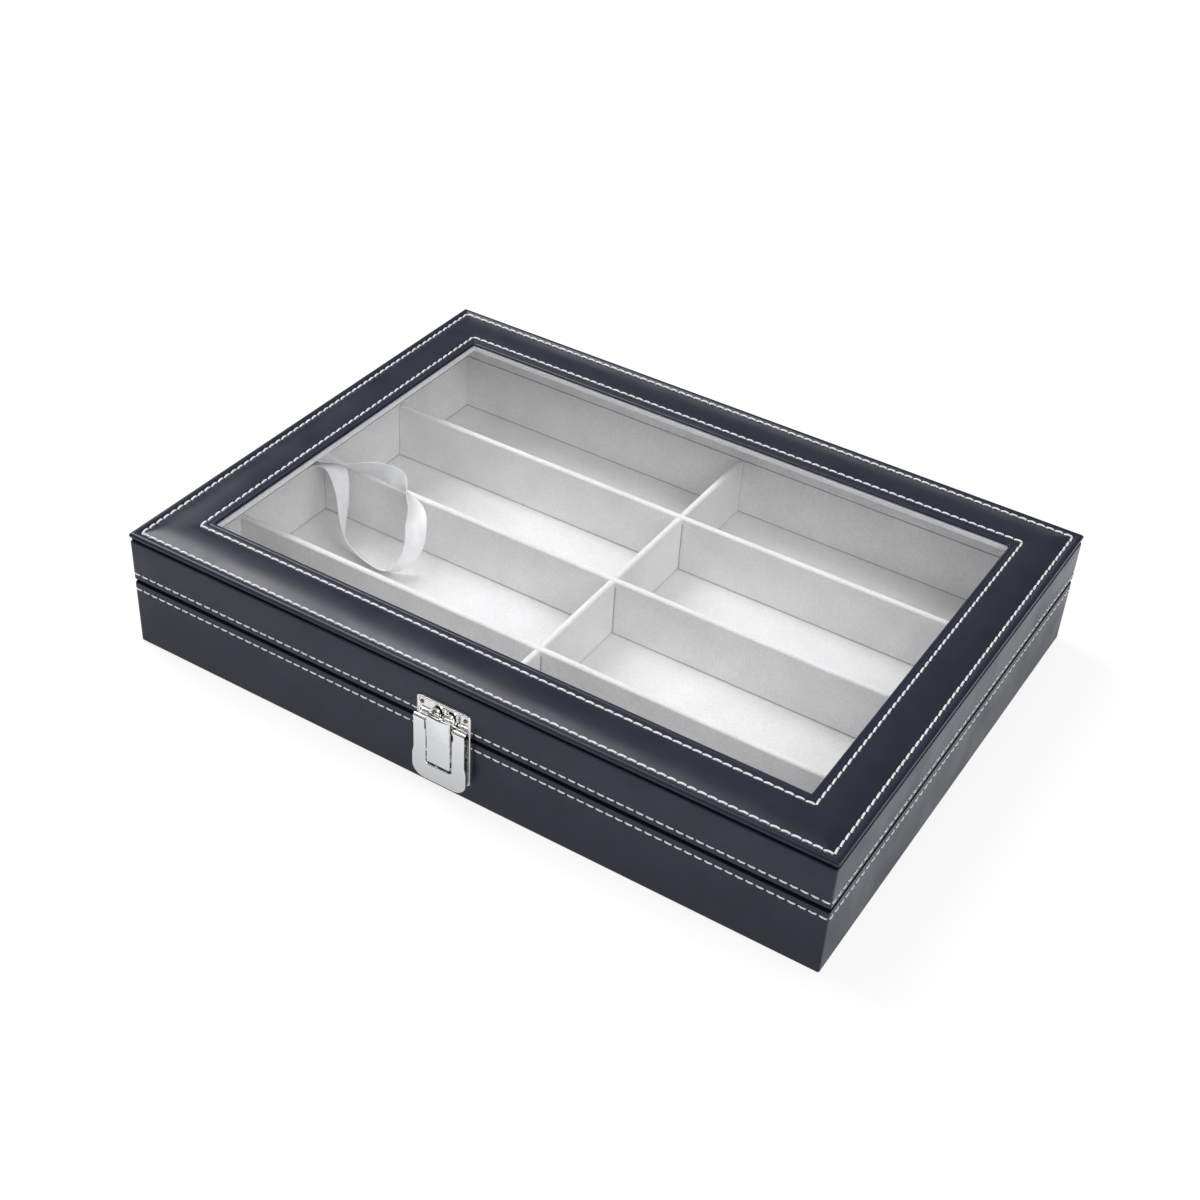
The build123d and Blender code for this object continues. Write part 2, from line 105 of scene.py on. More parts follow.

# %% [markdown]
# ## Camera, light and floor
# The photograph was taken from above and to the right with a normal lens, held a little tilted.
# Five soft lamps light the case. The key, high on the left, makes the cloudy shine along the padded
# front of the lid, and a small one lights its far left corner. A wide one on the right fills the
# compartments. A narrow one in front draws a line along the bead, and a low one behind draws the
# shine of the back band.
#
# The sky grows brighter upwards, but its top is dark in reflections, as the ceiling of a studio is,
# and white to the camera. The case's upright sides mirror the white floor, and that reflection is
# painted: a painted shade near the case, where the case would shade it, and a painted brighter
# reflection on the right.

# %% Camera
AZIMUTH, ELEVATION, ROLL = (math.radians(angle) for angle in (29.761, 37.704, 3.867))
AIM = Vector((-18.69, 21.48, 0)) * MM
DISTANCE = 858.48 * MM
LENS, SENSOR = 55.54, 36

backward = Vector((
    math.sin(AZIMUTH) * math.cos(ELEVATION),
    -math.cos(AZIMUTH) * math.cos(ELEVATION),
    math.sin(ELEVATION),
))
level = (-backward).cross(Vector((0, 0, 1))).normalized()
downward = (-backward).cross(level)
camera_x = math.cos(ROLL) * level - math.sin(ROLL) * downward
camera_y = -(math.sin(ROLL) * level + math.cos(ROLL) * downward)

camera = bpy.data.objects.new("camera", bpy.data.cameras.new("camera"))
camera.data.lens = LENS
camera.data.sensor_width = SENSOR
camera.rotation_mode = "QUATERNION"
camera.location = AIM + backward * DISTANCE
camera.rotation_quaternion = Matrix((camera_x, camera_y, backward)).transposed().to_quaternion()
bpy.context.scene.collection.objects.link(camera)
bpy.context.scene.camera = camera
bpy.context.scene.view_settings.view_transform = "Standard"
print("camera at", [round(v, 3) for v in camera.location])

# %% Small helpers for node trees


def linear(hex_colour):
    """An sRGB hex colour as linear RGBA."""
    channels = [int(hex_colour[i:i + 2], 16) / 255 for i in (1, 3, 5)]
    return [c / 12.92 if c <= 0.04045 else ((c + 0.055) / 1.055) ** 2.4 for c in channels] + [1.0]


def add(tree, kind, settings=None, links=None):
    """One node with its settings, each an input socket or a property, and its incoming links."""
    made = tree.nodes.new(kind)
    for key, value in (settings or {}).items():
        if isinstance(key, int) or key in made.inputs:
            made.inputs[key].default_value = value
        else:
            setattr(made, key, value)
    for key, source in (links or {}).items():
        tree.links.new(source, made.inputs[key])
    return made


# %% Light
SKY_RISE = {"From Min": 0.35, "From Max": 0.9, "To Min": 0.15, "To Max": 0.72}
CEILING = {"From Min": 0.78, "From Max": 0.9, "To Min": 1.0, "To Max": 0.12}
world = bpy.data.worlds.new("studio")
bpy.context.scene.world = world
world.use_nodes = True
sky = world.node_tree
looked_up = add(sky, "ShaderNodeTexCoord").outputs["Generated"]
upwards = add(sky, "ShaderNodeSeparateXYZ", links={0: looked_up}).outputs["Z"]
height = add(sky, "ShaderNodeMapRange", SKY_RISE, {"Value": upwards})
ceiling = add(sky, "ShaderNodeMapRange", CEILING, {"Value": upwards})
mirrored = add(sky, "ShaderNodeMath", {"operation": "MULTIPLY"},
               {0: height.outputs[0], 1: ceiling.outputs[0]})
ray = add(sky, "ShaderNodeLightPath").outputs
strength = add(sky, "ShaderNodeMix", {"data_type": "FLOAT"},
               {0: ray["Is Glossy Ray"], 2: height.outputs[0], 3: mirrored.outputs[0]})
shown = add(sky, "ShaderNodeMix", {"data_type": "FLOAT", 3: 1.0},
            {0: ray["Is Camera Ray"], 2: strength.outputs[0]})
sky.links.new(shown.outputs[0], sky.nodes["Background"].inputs["Strength"])
sky.nodes["Background"].inputs["Color"].default_value = linear("#fefdfd")


def lamp(name, place, depth, length, radiance):
    """A soft rectangular lamp at a place in metres that shines on the case, with a given brightness."""
    data = bpy.data.lights.new(name, "AREA")
    data.shape = "RECTANGLE"
    data.size, data.size_y = depth, length
    data.energy = radiance * math.pi * depth * length
    light = bpy.data.objects.new(name, data)
    light.location = place
    light.rotation_mode = "QUATERNION"
    light.rotation_quaternion = Vector(place).to_track_quat("Z", "Y")
    light.visible_camera = False
    bpy.context.scene.collection.objects.link(light)


lamp("key_left", (-0.80, 0.10, 1.10), 0.60, 1.05, 6.8)
lamp("corner_left", (-1.20, 0.62, 1.10), 0.45, 0.45, 2.3)
lamp("fill_right", (1.22, -0.72, 1.25), 1.4, 1.4, 2.75)
lamp("rim_front_left", (-0.62, -0.95, 1.05), 0.2, 0.6, 4.5)
lamp("low_behind", (-0.58, 1.60, 0.42), 1.0, 0.45, 0.7)

# %% Floor
FLOOR_HALF = 6.0
# Painted shade and painted light in the floor's reflection: how far the painted shade reaches, how dark it
# is, and the painted brightening on the right.
SHADE_WIDTH, SHADED_SHARE, SIDE_FASTER = 0.05, 0.52, 1.4
RIGHT_GAIN, RIGHT_WIDTH = 1.2, 0.02
floor_mesh = bpy.data.meshes.new("floor")
corners = [(x * FLOOR_HALF, y * FLOOR_HALF, 0) for x, y in ((-1, -1), (1, -1), (1, 1), (-1, 1))]
floor_mesh.from_pydata(corners, [], [(0, 1, 2, 3)])
floor = bpy.data.objects.new("floor", floor_mesh)
bpy.context.scene.collection.objects.link(floor)

paper = bpy.data.materials.new("matt_white_backdrop_paper")
paper.use_nodes = True
tree = paper.node_tree
tree.nodes.clear()
rays = add(tree, "ShaderNodeLightPath")
seen = add(tree, "ShaderNodeMath", {"operation": "MAXIMUM"},
           {0: rays.outputs["Is Camera Ray"], 1: rays.outputs["Is Transmission Ray"]})
plain = add(tree, "ShaderNodeBsdfDiffuse", {"Color": linear("#ececec")})
shaded = add(tree, "ShaderNodeBsdfDiffuse", {"Color": linear("#808080")})
glow = add(tree, "ShaderNodeEmission", {"Color": linear("#ffffff"), "Strength": 0.80})
bright = add(tree, "ShaderNodeAddShader", links={0: shaded.outputs[0], 1: glow.outputs[0]})
# Painted reflection: for mirrored rays the floor glows darker near the case, a painted shade, and brighter to
# its right, a painted light.
spot = add(tree, "ShaderNodeTexCoord").outputs["Object"]
folded = add(tree, "ShaderNodeVectorMath", {"operation": "ABSOLUTE"}, {0: spot})
beyond = add(tree, "ShaderNodeVectorMath", {"operation": "SUBTRACT", 1: (HALF_X * MM, HALF_Y * MM, 0)},
             {0: folded.outputs[0]})
apart = add(tree, "ShaderNodeSeparateXYZ", links={0: beyond.outputs[0]})
sideways = add(tree, "ShaderNodeMath", {"operation": "MULTIPLY", 1: SIDE_FASTER}, {0: apart.outputs["X"]})
distance = add(tree, "ShaderNodeMath", {"operation": "MAXIMUM"},
               {0: sideways.outputs[0], 1: apart.outputs["Y"]})
reflected = add(tree, "ShaderNodeMapRange",
                {"From Min": 0.0, "From Max": SHADE_WIDTH, "To Min": SHADED_SHARE, "To Max": 1.0},
                {"Value": distance.outputs[0]})
spot_x = add(tree, "ShaderNodeSeparateXYZ", links={0: spot}).outputs["X"]
gain = add(tree, "ShaderNodeMapRange",
           {"From Min": HALF_X * MM, "From Max": HALF_X * MM + RIGHT_WIDTH,
            "To Min": 1.0, "To Max": RIGHT_GAIN}, {"Value": spot_x})
strength = add(tree, "ShaderNodeMath", {"operation": "MULTIPLY"},
               {0: reflected.outputs[0], 1: gain.outputs[0]})
white = add(tree, "ShaderNodeEmission", {"Color": linear("#f8faff")}, {"Strength": strength.outputs[0]})
either = add(tree, "ShaderNodeMixShader",
             links={0: seen.outputs[0], 1: plain.outputs[0], 2: bright.outputs[0]})
mirrored = add(tree, "ShaderNodeMixShader",
               links={0: rays.outputs["Is Glossy Ray"], 1: either.outputs[0], 2: white.outputs[0]})
add(tree, "ShaderNodeOutputMaterial", links={"Surface": mirrored.outputs[0]})
floor_mesh.materials.append(paper)

# %% [markdown]
# ## Finishes
# Each finish starts from what the real surface is and how it was made. Patterns are drawn in
# Object coordinates, which are metres here, so a pattern of a given grain in millimetres has
# a texture scale of 1000 divided by that grain.

# %% Helpers for the finishes


def per_metre(grain_mm):
    """The texture scale that gives features of a size in millimetres."""
    return 1 / (grain_mm * MM)


def finish(name, settings, colour=None):
    """A material whose one principled shader has these settings."""
    material = bpy.data.materials.new(name)
    material.use_nodes = True
    shader = material.node_tree.nodes["Principled BSDF"]
    for key, value in settings.items():
        shader.inputs[key].default_value = value
    if colour:
        shader.inputs["Base Color"].default_value = linear(colour)
    return material, material.node_tree, shader


def grain(tree, size_mm, detail=2.0, stretch=(1, 1, 1)):
    """Smooth noise of a real size, drawn in Object coordinates."""
    place = add(tree, "ShaderNodeMapping", {"Scale": stretch},
                {"Vector": add(tree, "ShaderNodeTexCoord").outputs["Object"]})
    return add(tree, "ShaderNodeTexNoise", {"Scale": per_metre(size_mm), "Detail": detail},
               {"Vector": place.outputs[0]}).outputs[0]


def tones(tree, shader, source, dark, light, low=0.3, high=0.7):
    """Colour the shader between two tones as a pattern rises from low to high."""
    share = add(tree, "ShaderNodeMapRange", {"From Min": low, "From Max": high}, {"Value": source})
    mixed = add(tree, "ShaderNodeMix", {"data_type": "RGBA", 6: linear(dark), 7: linear(light)},
                {0: share.outputs[0]})
    tree.links.new(mixed.outputs[2], shader.inputs["Base Color"])


def roughened(tree, shader, source, smooth, rough, low=0.3, high=0.7):
    """Let a pattern move the roughness between two values."""
    share = add(tree, "ShaderNodeMapRange",
                {"From Min": low, "From Max": high, "To Min": smooth, "To Max": rough}, {"Value": source})
    tree.links.new(share.outputs[0], shader.inputs["Roughness"])


def embossed(tree, shader, source, height_mm, strength=1.0, before=None):
    """Raise a pattern as bump of a real height, on top of an earlier bump."""
    bump = add(tree, "ShaderNodeBump", {"Strength": strength, "Distance": height_mm * MM}, {"Height": source})
    if before:
        tree.links.new(before.outputs[0], bump.inputs["Normal"])
    tree.links.new(bump.outputs[0], shader.inputs["Normal"])
    return bump


# %% [markdown]
# **Leatherette** is polyurethane foam skin on cloth, embossed by a roller with a very fine
# hide grain. It is almost black with a blue tint and has a satin gloss that varies softly,
# because the skin is stretched by hand over the boards.

# %% Leatherette
leatherette, tree, shader = finish("embossed_polyurethane_leatherette", {"IOR": 1.46})
tones(tree, shader, grain(tree, 14, 3), "#0d1122", "#141a2c")
roughened(tree, shader, grain(tree, 22, 3), 0.28, 0.40)
pebble = add(tree, "ShaderNodeTexVoronoi", {"Scale": per_metre(0.9), "feature": "SMOOTH_F1"},
             {"Vector": add(tree, "ShaderNodeTexCoord").outputs["Object"]})
soft_waves = embossed(tree, shader, grain(tree, 7, 2), 0.03, 0.5)
embossed(tree, shader, pebble.outputs["Distance"], 0.02, 0.35, soft_waves)

# Painted shade: this nearly black, hardly reflecting leather stands for the shade in the crevice under the
# bead and in the seam's gap.
fold_shade_leather, tree, shader = finish("leatherette_painted_with_fold_shade",
                                 {"IOR": 1.46, "Roughness": 0.9, "Specular IOR Level": 0.08})
tones(tree, shader, grain(tree, 14, 3), "#07080c", "#0c0d13")

# %% [markdown]
# ** Flocked velvet** covers the boards inside. Its short upright fibres scatter light, so it has no
# gloss but a pale sheen at the edges. Where a wall stands on the floor, or a cross divider meets
# the long one, the shade in the corner is painted into the colour as a dark line.

# %% Velvet


DIVIDER_FOOT, DIVIDER_TOP = (corner.z for corner in limits("cross_divider_1"))
LONG_FACE_X = limits("long_divider_1")[1].x
# Painted shade in the velvet's corners: how far it reaches, its darkest share, and where it fades out near a
# divider's top.
CORNER_SHADE_REACH, CORNER_SHADE_TONE = 0.9, 0.3
CORNER_SHADE_ENDS, CORNER_SHADE_GONE = 3.5, 0.5
FAR = 5.0


def paint_corner_shade(tree, shader, beside_long):
    """Paint shade into the pile's colour at its corners: along the floor and by the long divider."""
    spot = add(tree, "ShaderNodeTexCoord").outputs["Object"]
    folded = add(tree, "ShaderNodeVectorMath", {"operation": "ABSOLUTE"}, {0: spot})
    place = add(tree, "ShaderNodeSeparateXYZ", links={0: folded.outputs[0]}).outputs
    near = add(tree, "ShaderNodeMath", {"operation": "SUBTRACT", 1: DIVIDER_FOOT * MM}, {0: place["Z"]})
    if beside_long:
        across = add(tree, "ShaderNodeMath", {"operation": "SUBTRACT", 1: LONG_FACE_X * MM}, {0: place["X"]})
        rounded = add(tree, "ShaderNodeMapRange",
                      {"From Min": (DIVIDER_TOP - CORNER_SHADE_ENDS) * MM,
                       "From Max": (DIVIDER_TOP - CORNER_SHADE_GONE) * MM, "To Max": FAR * MM},
                      {"Value": place["Z"]})
        beside = add(tree, "ShaderNodeMath", links={0: across.outputs[0], 1: rounded.outputs[0]})
        near = add(tree, "ShaderNodeMath", {"operation": "MINIMUM"},
                   {0: near.outputs[0], 1: beside.outputs[0]})
    unshaded_share = add(tree, "ShaderNodeMapRange",
                     {"From Min": 0.0, "From Max": CORNER_SHADE_REACH * MM, "To Min": CORNER_SHADE_TONE},
                     {"Value": near.outputs[0]})
    pale = shader.inputs["Base Color"].links[0].from_socket
    toned = add(tree, "ShaderNodeVectorMath", {"operation": "SCALE"},
                {0: pale, "Scale": unshaded_share.outputs[0]})
    tree.links.new(toned.outputs[0], shader.inputs["Base Color"])


def velvet(name, dark, light, shaded_corners=False, beside_long=False):
    """Short-pile velvet between two tones, with brushed patches and fibre-fine grain, and painted corner
    shade if asked.
    """
    cloth, tree, shader = finish(name, {"Roughness": 0.95, "Sheen Weight": 0.2, "Sheen Roughness": 0.5,
                                        "Specular IOR Level": 0.15})
    pile = add(tree, "ShaderNodeMath", {"operation": "MULTIPLY", 1: 0.62}, {0: grain(tree, 0.9, 3)})
    patchy = add(tree, "ShaderNodeMath", {"operation": "MULTIPLY_ADD", 1: 0.38},
                 {0: grain(tree, 18, 3), 2: pile.outputs[0]})
    tones(tree, shader, patchy.outputs[0], dark, light, 0.36, 0.64)
    if shaded_corners:
        paint_corner_shade(tree, shader, beside_long)
    brushed = embossed(tree, shader, grain(tree, 3, 2), 0.08, 0.4)
    embossed(tree, shader, grain(tree, 0.45, 2), 0.06, 0.6, brushed)
    return cloth


WALL_TONES = "#dcdbdc", "#edeced"
wall_velvet = velvet("flocked_velvet_walls", *WALL_TONES, shaded_corners=True)
cross_velvet = velvet("flocked_velvet_cross_dividers", *WALL_TONES, shaded_corners=True, beside_long=True)
floor_velvet = velvet("flocked_velvet_floor", "#dbdadb", "#e8e7e8")
trim_velvet = velvet("flocked_velvet_window_trim", "#e6e5e9", "#f4f3f6")

# %% [markdown]
# **Polyester sewing thread** is bright and slightly glossy, and twisted tightly.

# %% Thread
thread, tree, shader = finish("twisted_polyester_thread", {"Roughness": 0.55, "Sheen Weight": 0.3})
tones(tree, shader, grain(tree, 1.2, 2), "#c8c8cb", "#e4e4e6")
embossed(tree, shader, grain(tree, 0.35, 1), 0.08, 0.8)

# %% [markdown]
# **Chrome plate** on stamped steel mirrors everything round it. **Nickel** on the hinges is warmer and
# a little duller, and the **nails** are brassed steel. Metals keep the default index of refraction.

# %% Metals
chrome, tree, shader = finish("polished_chrome_plate", {"Metallic": 1.0}, "#efeeec")
roughened(tree, shader, grain(tree, 2.5, 3), 0.06, 0.16)
embossed(tree, shader, grain(tree, 5, 2), 0.03, 0.6)

nickel, tree, shader = finish("dull_nickel_plate", {"Metallic": 1.0}, "#c9c6bf")
roughened(tree, shader, grain(tree, 1.2, 3, (1, 1, 6)), 0.2, 0.34)

pin_steel, tree, shader = finish("oiled_steel_pin", {"Metallic": 1.0}, "#3a3a3c")
roughened(tree, shader, grain(tree, 0.8, 2), 0.4, 0.55)

brass, tree, shader = finish("brassed_steel_nail", {"Metallic": 1.0, "Roughness": 0.3})
tones(tree, shader, grain(tree, 0.8, 2), "#5f5233", "#8f8158")

# %% [markdown]
# **Float glass** has to let the lamps light the velvet. Cycles would treat the shadow of a clear
# pane as solid, so shadow rays and diffuse rays pass it through a transparent shader.

# %% Glass
pane, tree, shader = finish("clear_float_glass", {"Roughness": 0.0, "IOR": 1.45, "Transmission Weight": 1.0},
                            "#ffffff")
rays = add(tree, "ShaderNodeLightPath")
passes = add(tree, "ShaderNodeMath", {"operation": "MAXIMUM"},
             {0: rays.outputs["Is Shadow Ray"], 1: rays.outputs["Is Diffuse Ray"]})
clear = add(tree, "ShaderNodeBsdfTransparent", {"Color": linear("#fcfdfd")})
mix = add(tree, "ShaderNodeMixShader",
          links={0: passes.outputs[0], 1: shader.outputs[0], 2: clear.outputs[0]})
tree.links.new(mix.outputs[0], tree.nodes["Material Output"].inputs["Surface"])

# %% [markdown]
# **Satin ribbon** is woven polyester, and its long floats give a soft sheen.
# **Fibreboard**, **foam** and the **paper** under the case only show in the hidden layers.

# %% Ribbon, board, foam and paper
satin, tree, shader = finish("white_polyester_satin", {"Roughness": 0.4, "Sheen Weight": 0.2})
tones(tree, shader, grain(tree, 4, 2), "#f0f0f2", "#fafafa")
embossed(tree, shader, grain(tree, 0.5, 1, (1, 1, 4)), 0.03, 0.5)

fibreboard, tree, shader = finish("pressed_fibreboard", {"Roughness": 0.9})
tones(tree, shader, grain(tree, 1.5, 4), "#8a6a48", "#a98760")
embossed(tree, shader, grain(tree, 0.6, 2), 0.1, 0.6)

foam, tree, shader = finish("cut_polyurethane_foam", {"Roughness": 1.0})
tones(tree, shader, grain(tree, 0.8, 2), "#cfcbb8", "#e4e1d2")
embossed(tree, shader, grain(tree, 0.6, 1), 0.2, 0.8)

cover_paper, tree, shader = finish("black_grained_paper", {"Roughness": 0.75})
tones(tree, shader, grain(tree, 6, 3), "#15161a", "#202126")
embossed(tree, shader, grain(tree, 0.7, 2), 0.05, 0.6)

# %% Finishes of the CAD nodes that stay
kept_finishes = {
    "glass": pane, "latch_chrome": chrome, "hinge_nickel": nickel, "nails": brass, "board": fibreboard,
    "bottom_cover": cover_paper,
}
painted = [(node, node.data.materials[0].name) for node in nodes.values()]
painted = [(node, slot_name) for node, slot_name in painted if slot_name in kept_finishes]
for node, slot_name in painted:
    node.material_slots[0].material = kept_finishes[slot_name]
nodes["latch_pins"].material_slots[0].material = pin_steel
print("CAD nodes painted", len(painted))

# %% [markdown]
# ## Leather
# A wrap of leather has one cross-section all the way round the case. So each wrap is one closed
# section, swept round the rectangle in small steps. The same number of points goes round at
# every inset, with a few of them in each corner, and the mesh is a plain grid that can be dimpled where
# the stitches pull.

# %% Sweeping a section round the case
STEP = 1.1
CORNER_STEPS = 6
turns = []
for side_x, side_y, count, out_x, out_y in (
    (1, 0, round(2 * HALF_X / STEP), 0, -1), (0, 1, round(2 * HALF_Y / STEP), 1, 0),
    (-1, 0, round(2 * HALF_X / STEP), 0, 1), (0, -1, round(2 * HALF_Y / STEP), -1, 0),
):
    for share in np.linspace(-1, 1, count + 1):
        turns.append((side_x * share + out_x, side_y * share + out_y, out_x, out_y))
    angle = math.atan2(out_y, out_x)
    for part in range(1, CORNER_STEPS):
        bend = angle + math.pi / 2 * part / CORNER_STEPS
        turns.append((side_x + out_x, side_y + out_y, math.cos(bend), math.sin(bend)))
turns = np.array(turns)
ON_LONG_SIDE = np.abs(turns[:, 2]) < np.abs(turns[:, 3])
print("points round the case", len(turns))


def swept(section):
    """Points of a section of (inset x, inset y, z, corner radius) rows, swept round the case."""
    inset_x, inset_y, z, radius = np.array(section, float).T[:, :, None]
    corner_x, corner_y = HALF_X - inset_x - radius, HALF_Y - inset_y - radius
    x = turns[:, 0] * corner_x + turns[:, 2] * radius
    y = turns[:, 1] * corner_y + turns[:, 3] * radius
    return np.stack((x, y, np.broadcast_to(z, x.shape)), axis=2)


def piece(name, points, faces, material, body):
    """A finished mesh in millimetres, set on its CAD body."""
    mesh = bpy.data.meshes.new(name)
    mesh.from_pydata((np.asarray(points, float).reshape(-1, 3) * MM).tolist(), [], faces)
    mesh.materials.append(material)
    mesh.polygons.foreach_set("use_smooth", [True] * len(mesh.polygons))
    mesh.update()
    made = bpy.data.objects.new(name, mesh)
    bpy.context.scene.collection.objects.link(made)
    if body:
        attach(made, body)
    print(name, len(mesh.polygons), "faces")
    return made


def paint_fold_shade(made, low, high):
    """Give the faces between two heights in mm a dark matt leather that paints the shade of a fold."""
    made.data.materials.append(fold_shade_leather)
    for face in made.data.polygons:
        if low < face.center.z / MM < high:
            face.material_index = 1


def loops_joined(points):
    """Faces of a grid whose rows and columns both close."""
    rows, columns = points.shape[:2]
    return [
        (i * columns + j, i * columns + (j + 1) % columns,
         (i + 1) % rows * columns + (j + 1) % columns, (i + 1) % rows * columns + j)
        for i in range(rows) for j in range(columns)
    ]


def holes(along):
    """A wave from 0 to 1 that peaks at each hole of a stitch row."""
    return 0.5 + 0.5 * np.cos(2 * math.pi * along / PITCH)


def stitch_pull(points, row_x, row_y, width):
    """How strongly the holes of a stitch row pull at each point of a top face, from 0 to 1."""
    x, y = points[:, :, 0], points[:, :, 1]
    away = np.where(ON_LONG_SIDE, HALF_Y - row_y - np.abs(y), HALF_X - row_x - np.abs(x))
    along = np.where(ON_LONG_SIDE, x + HALF_X - row_x, y + HALF_Y - row_y)
    return np.exp(-(away / width) ** 2) * holes(along)


def ripples(points, size, depth):
    """Slow waves in the leather, where the hand that stretched it left it uneven."""
    flat = points.reshape(-1, 3)
    values = [noise.noise(Vector(p) / size) for p in flat]
    return depth * np.array(values).reshape(points.shape[:2])


# %% [markdown]
# The lid's top is padded. From the outside in its section has a rolled bead over the lid's edge,
# the outer row of stitches in a small valley, the crowned band over its foam, the inner row of
# stitches and a rounded lip with one crease down to the glass.

# %% Leather top of the lid
PITCH = 4.3
ROW_OUT = 3.75
ROW_IN = (20.3, 21.8)
VALLEY_Z, CREST_Z, INNER_Z = 57.45, 58.78, 58.15
PEAK, RAMP = 0.54, 0.3
LEATHER_T = 0.5
BEAD_R, BEAD_IN, BEAD_Z = 1.35, 1.15, 56.95
BEAD_BACK, NECK_IN, BEAD_LOW = 0.78, 0.55, 54.0
BEAD_ANGLES = (-60, -40, -20, 0, 20, 40, 60, 80)
NECK_ROWS = 3
PULL_WIDTH = 1.2


def band(share, z, radius):
    """A row of the section between the outer stitches, share 0, and the inner ones, share 1."""
    return (ROW_OUT + share * (ROW_IN[0] - ROW_OUT), ROW_OUT + share * (ROW_IN[1] - ROW_OUT), z, radius)


def lip(share, z, radius=0.8):
    """A row of the section between the inner stitches, share 0, and the window's edge, share 1."""
    return tuple(ROW_IN[i] + share * (WINDOW_INSET[i] - ROW_IN[i]) for i in (0, 1)) + (z, radius)


def band_radius(share):
    """Corner radius of the band, which turns more softly in its middle."""
    return 0.8 + 2.4 * math.sin(math.pi * share)


def crown_z(share):
    """Height of the padded band: an even slope by the outer stitches, a round crest, then nearly level."""
    if share > PEAK:
        return CREST_Z - (CREST_Z - INNER_Z) * ((share - PEAK) / (1 - PEAK)) ** 2.2
    part = share / PEAK
    bend = max(0, part - RAMP) ** 2 / (2 * (1 - RAMP))
    return VALLEY_Z + (CREST_Z - VALLEY_Z) * 2 / (1 + RAMP) * (part - bend)


bead = [(BEAD_BACK, BEAD_LOW), (NECK_IN, BEAD_LOW + 0.02), (NECK_IN, BEAD_Z - BEAD_R + 0.1)]
bead += [(BEAD_IN - BEAD_R * math.cos(math.radians(a)), BEAD_Z + BEAD_R * math.sin(math.radians(a)))
         for a in BEAD_ANGLES]
bead += [(1.7, 58.22), (2.3, 58.0), (2.8, 57.75), (3.2, 57.57), (ROW_OUT, VALLEY_Z)]
bead = [(d, d, z, max(0.3, 0.6 - 0.1 * max(0, d))) for d, z in bead]
shares = [0.5 - 0.5 * math.cos(math.pi * k / 20) for k in range(1, 20)]
crown = [band(s, crown_z(s), band_radius(s)) for s in shares]
edge = [lip(s, z) for s, z in (
    (0, INNER_Z), (0.12, 58.25), (0.3, 58.3), (0.46, 58.24), (0.54, 57.98), (0.62, 58.2), (0.78, 58.22),
    (0.9, 58.05), (0.97, 57.75), (1.0, 57.3), (1.0, RAIL_Z),
)]
hollow = [band(s, max(RAIL_Z + 0.02, crown_z(s) - LEATHER_T), band_radius(s)) for s in shares[::-1]]
under = [lip(0.3, RAIL_Z), band(1.0, RAIL_Z, 0.8), *hollow, band(0.0, RAIL_Z, 0.4)]
under.append((BEAD_BACK, BEAD_BACK, RAIL_Z, 0.4))
top_points = swept(bead + crown + edge + under)

shown_rows = len(bead + crown + edge) - 2
dimples = 0.08 * stitch_pull(top_points, ROW_OUT, ROW_OUT, PULL_WIDTH)
dimples += 0.12 * stitch_pull(top_points, *ROW_IN, PULL_WIDTH)
waves = ripples(top_points, 16, 0.10) + ripples(top_points, 48, 0.14)
share_of_band = np.zeros(len(top_points))
share_of_band[len(bead):len(bead) + len(crown)] = [math.sin(math.pi * s) for s in shares]
lift = waves * share_of_band[:, None] - dimples
lift[shown_rows:] = 0
lift[:NECK_ROWS] = 0
top_points[:, :, 2] += lift
leather_top = piece("lid_top_padded_leather", top_points, loops_joined(top_points), leatherette,
                    "lid")
# Painted shade: the neck under the bead is dark to stand for the shade in its crevice.
paint_fold_shade(leather_top, BEAD_LOW, BEAD_Z - BEAD_R + 0.2)
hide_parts("lid_top_leather")

# %% [markdown]
# The foam under the band fills the leather's hollow up to a hair's breadth under the skin, and
# gives the crown its shape.

# %% Foam under the leather
FOAM_SHARES = [0.14 + 0.82 * k / 12 for k in range(13)]
FOAM_GAP, FOAM_CORNER_R = 0.05, 1.5
foam_section = [band(s, crown_z(s) - LEATHER_T - FOAM_GAP, FOAM_CORNER_R) for s in FOAM_SHARES]
foam_section += [band(s, RAIL_Z, FOAM_CORNER_R) for s in FOAM_SHARES[::-1]]
foam_points = swept(foam_section)
foam_band = piece("lid_foam_band", foam_points, loops_joined(foam_points), foam, "lid")
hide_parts("foam_pad")

# %% [markdown]
# The sides of the base and of the lid are wrapped too, and the leather folds over the boards at
# the seam. The two rounded rims meet there with a dark gap, and the shade of the gap is painted
# on the rims.

# %% Leather of the sides
BASE_RIM_R, LID_RIM_R = 1.6, 0.8
CORNER_R = 0.9
FOLD_IN = 5.0
FOLD_T = 1.6
LEATHER_WALL = 0.8
BASE_ROW_Z, LID_ROW_Z = 29.2, 37.4
CREVICE_Z = 54.3
SHADE_LOW, SHADE_HIGH = 32.15, 34.65
SIDE_PULL, SIDE_PULL_WIDTH = 0.10, 0.9
SKIN = 0.05


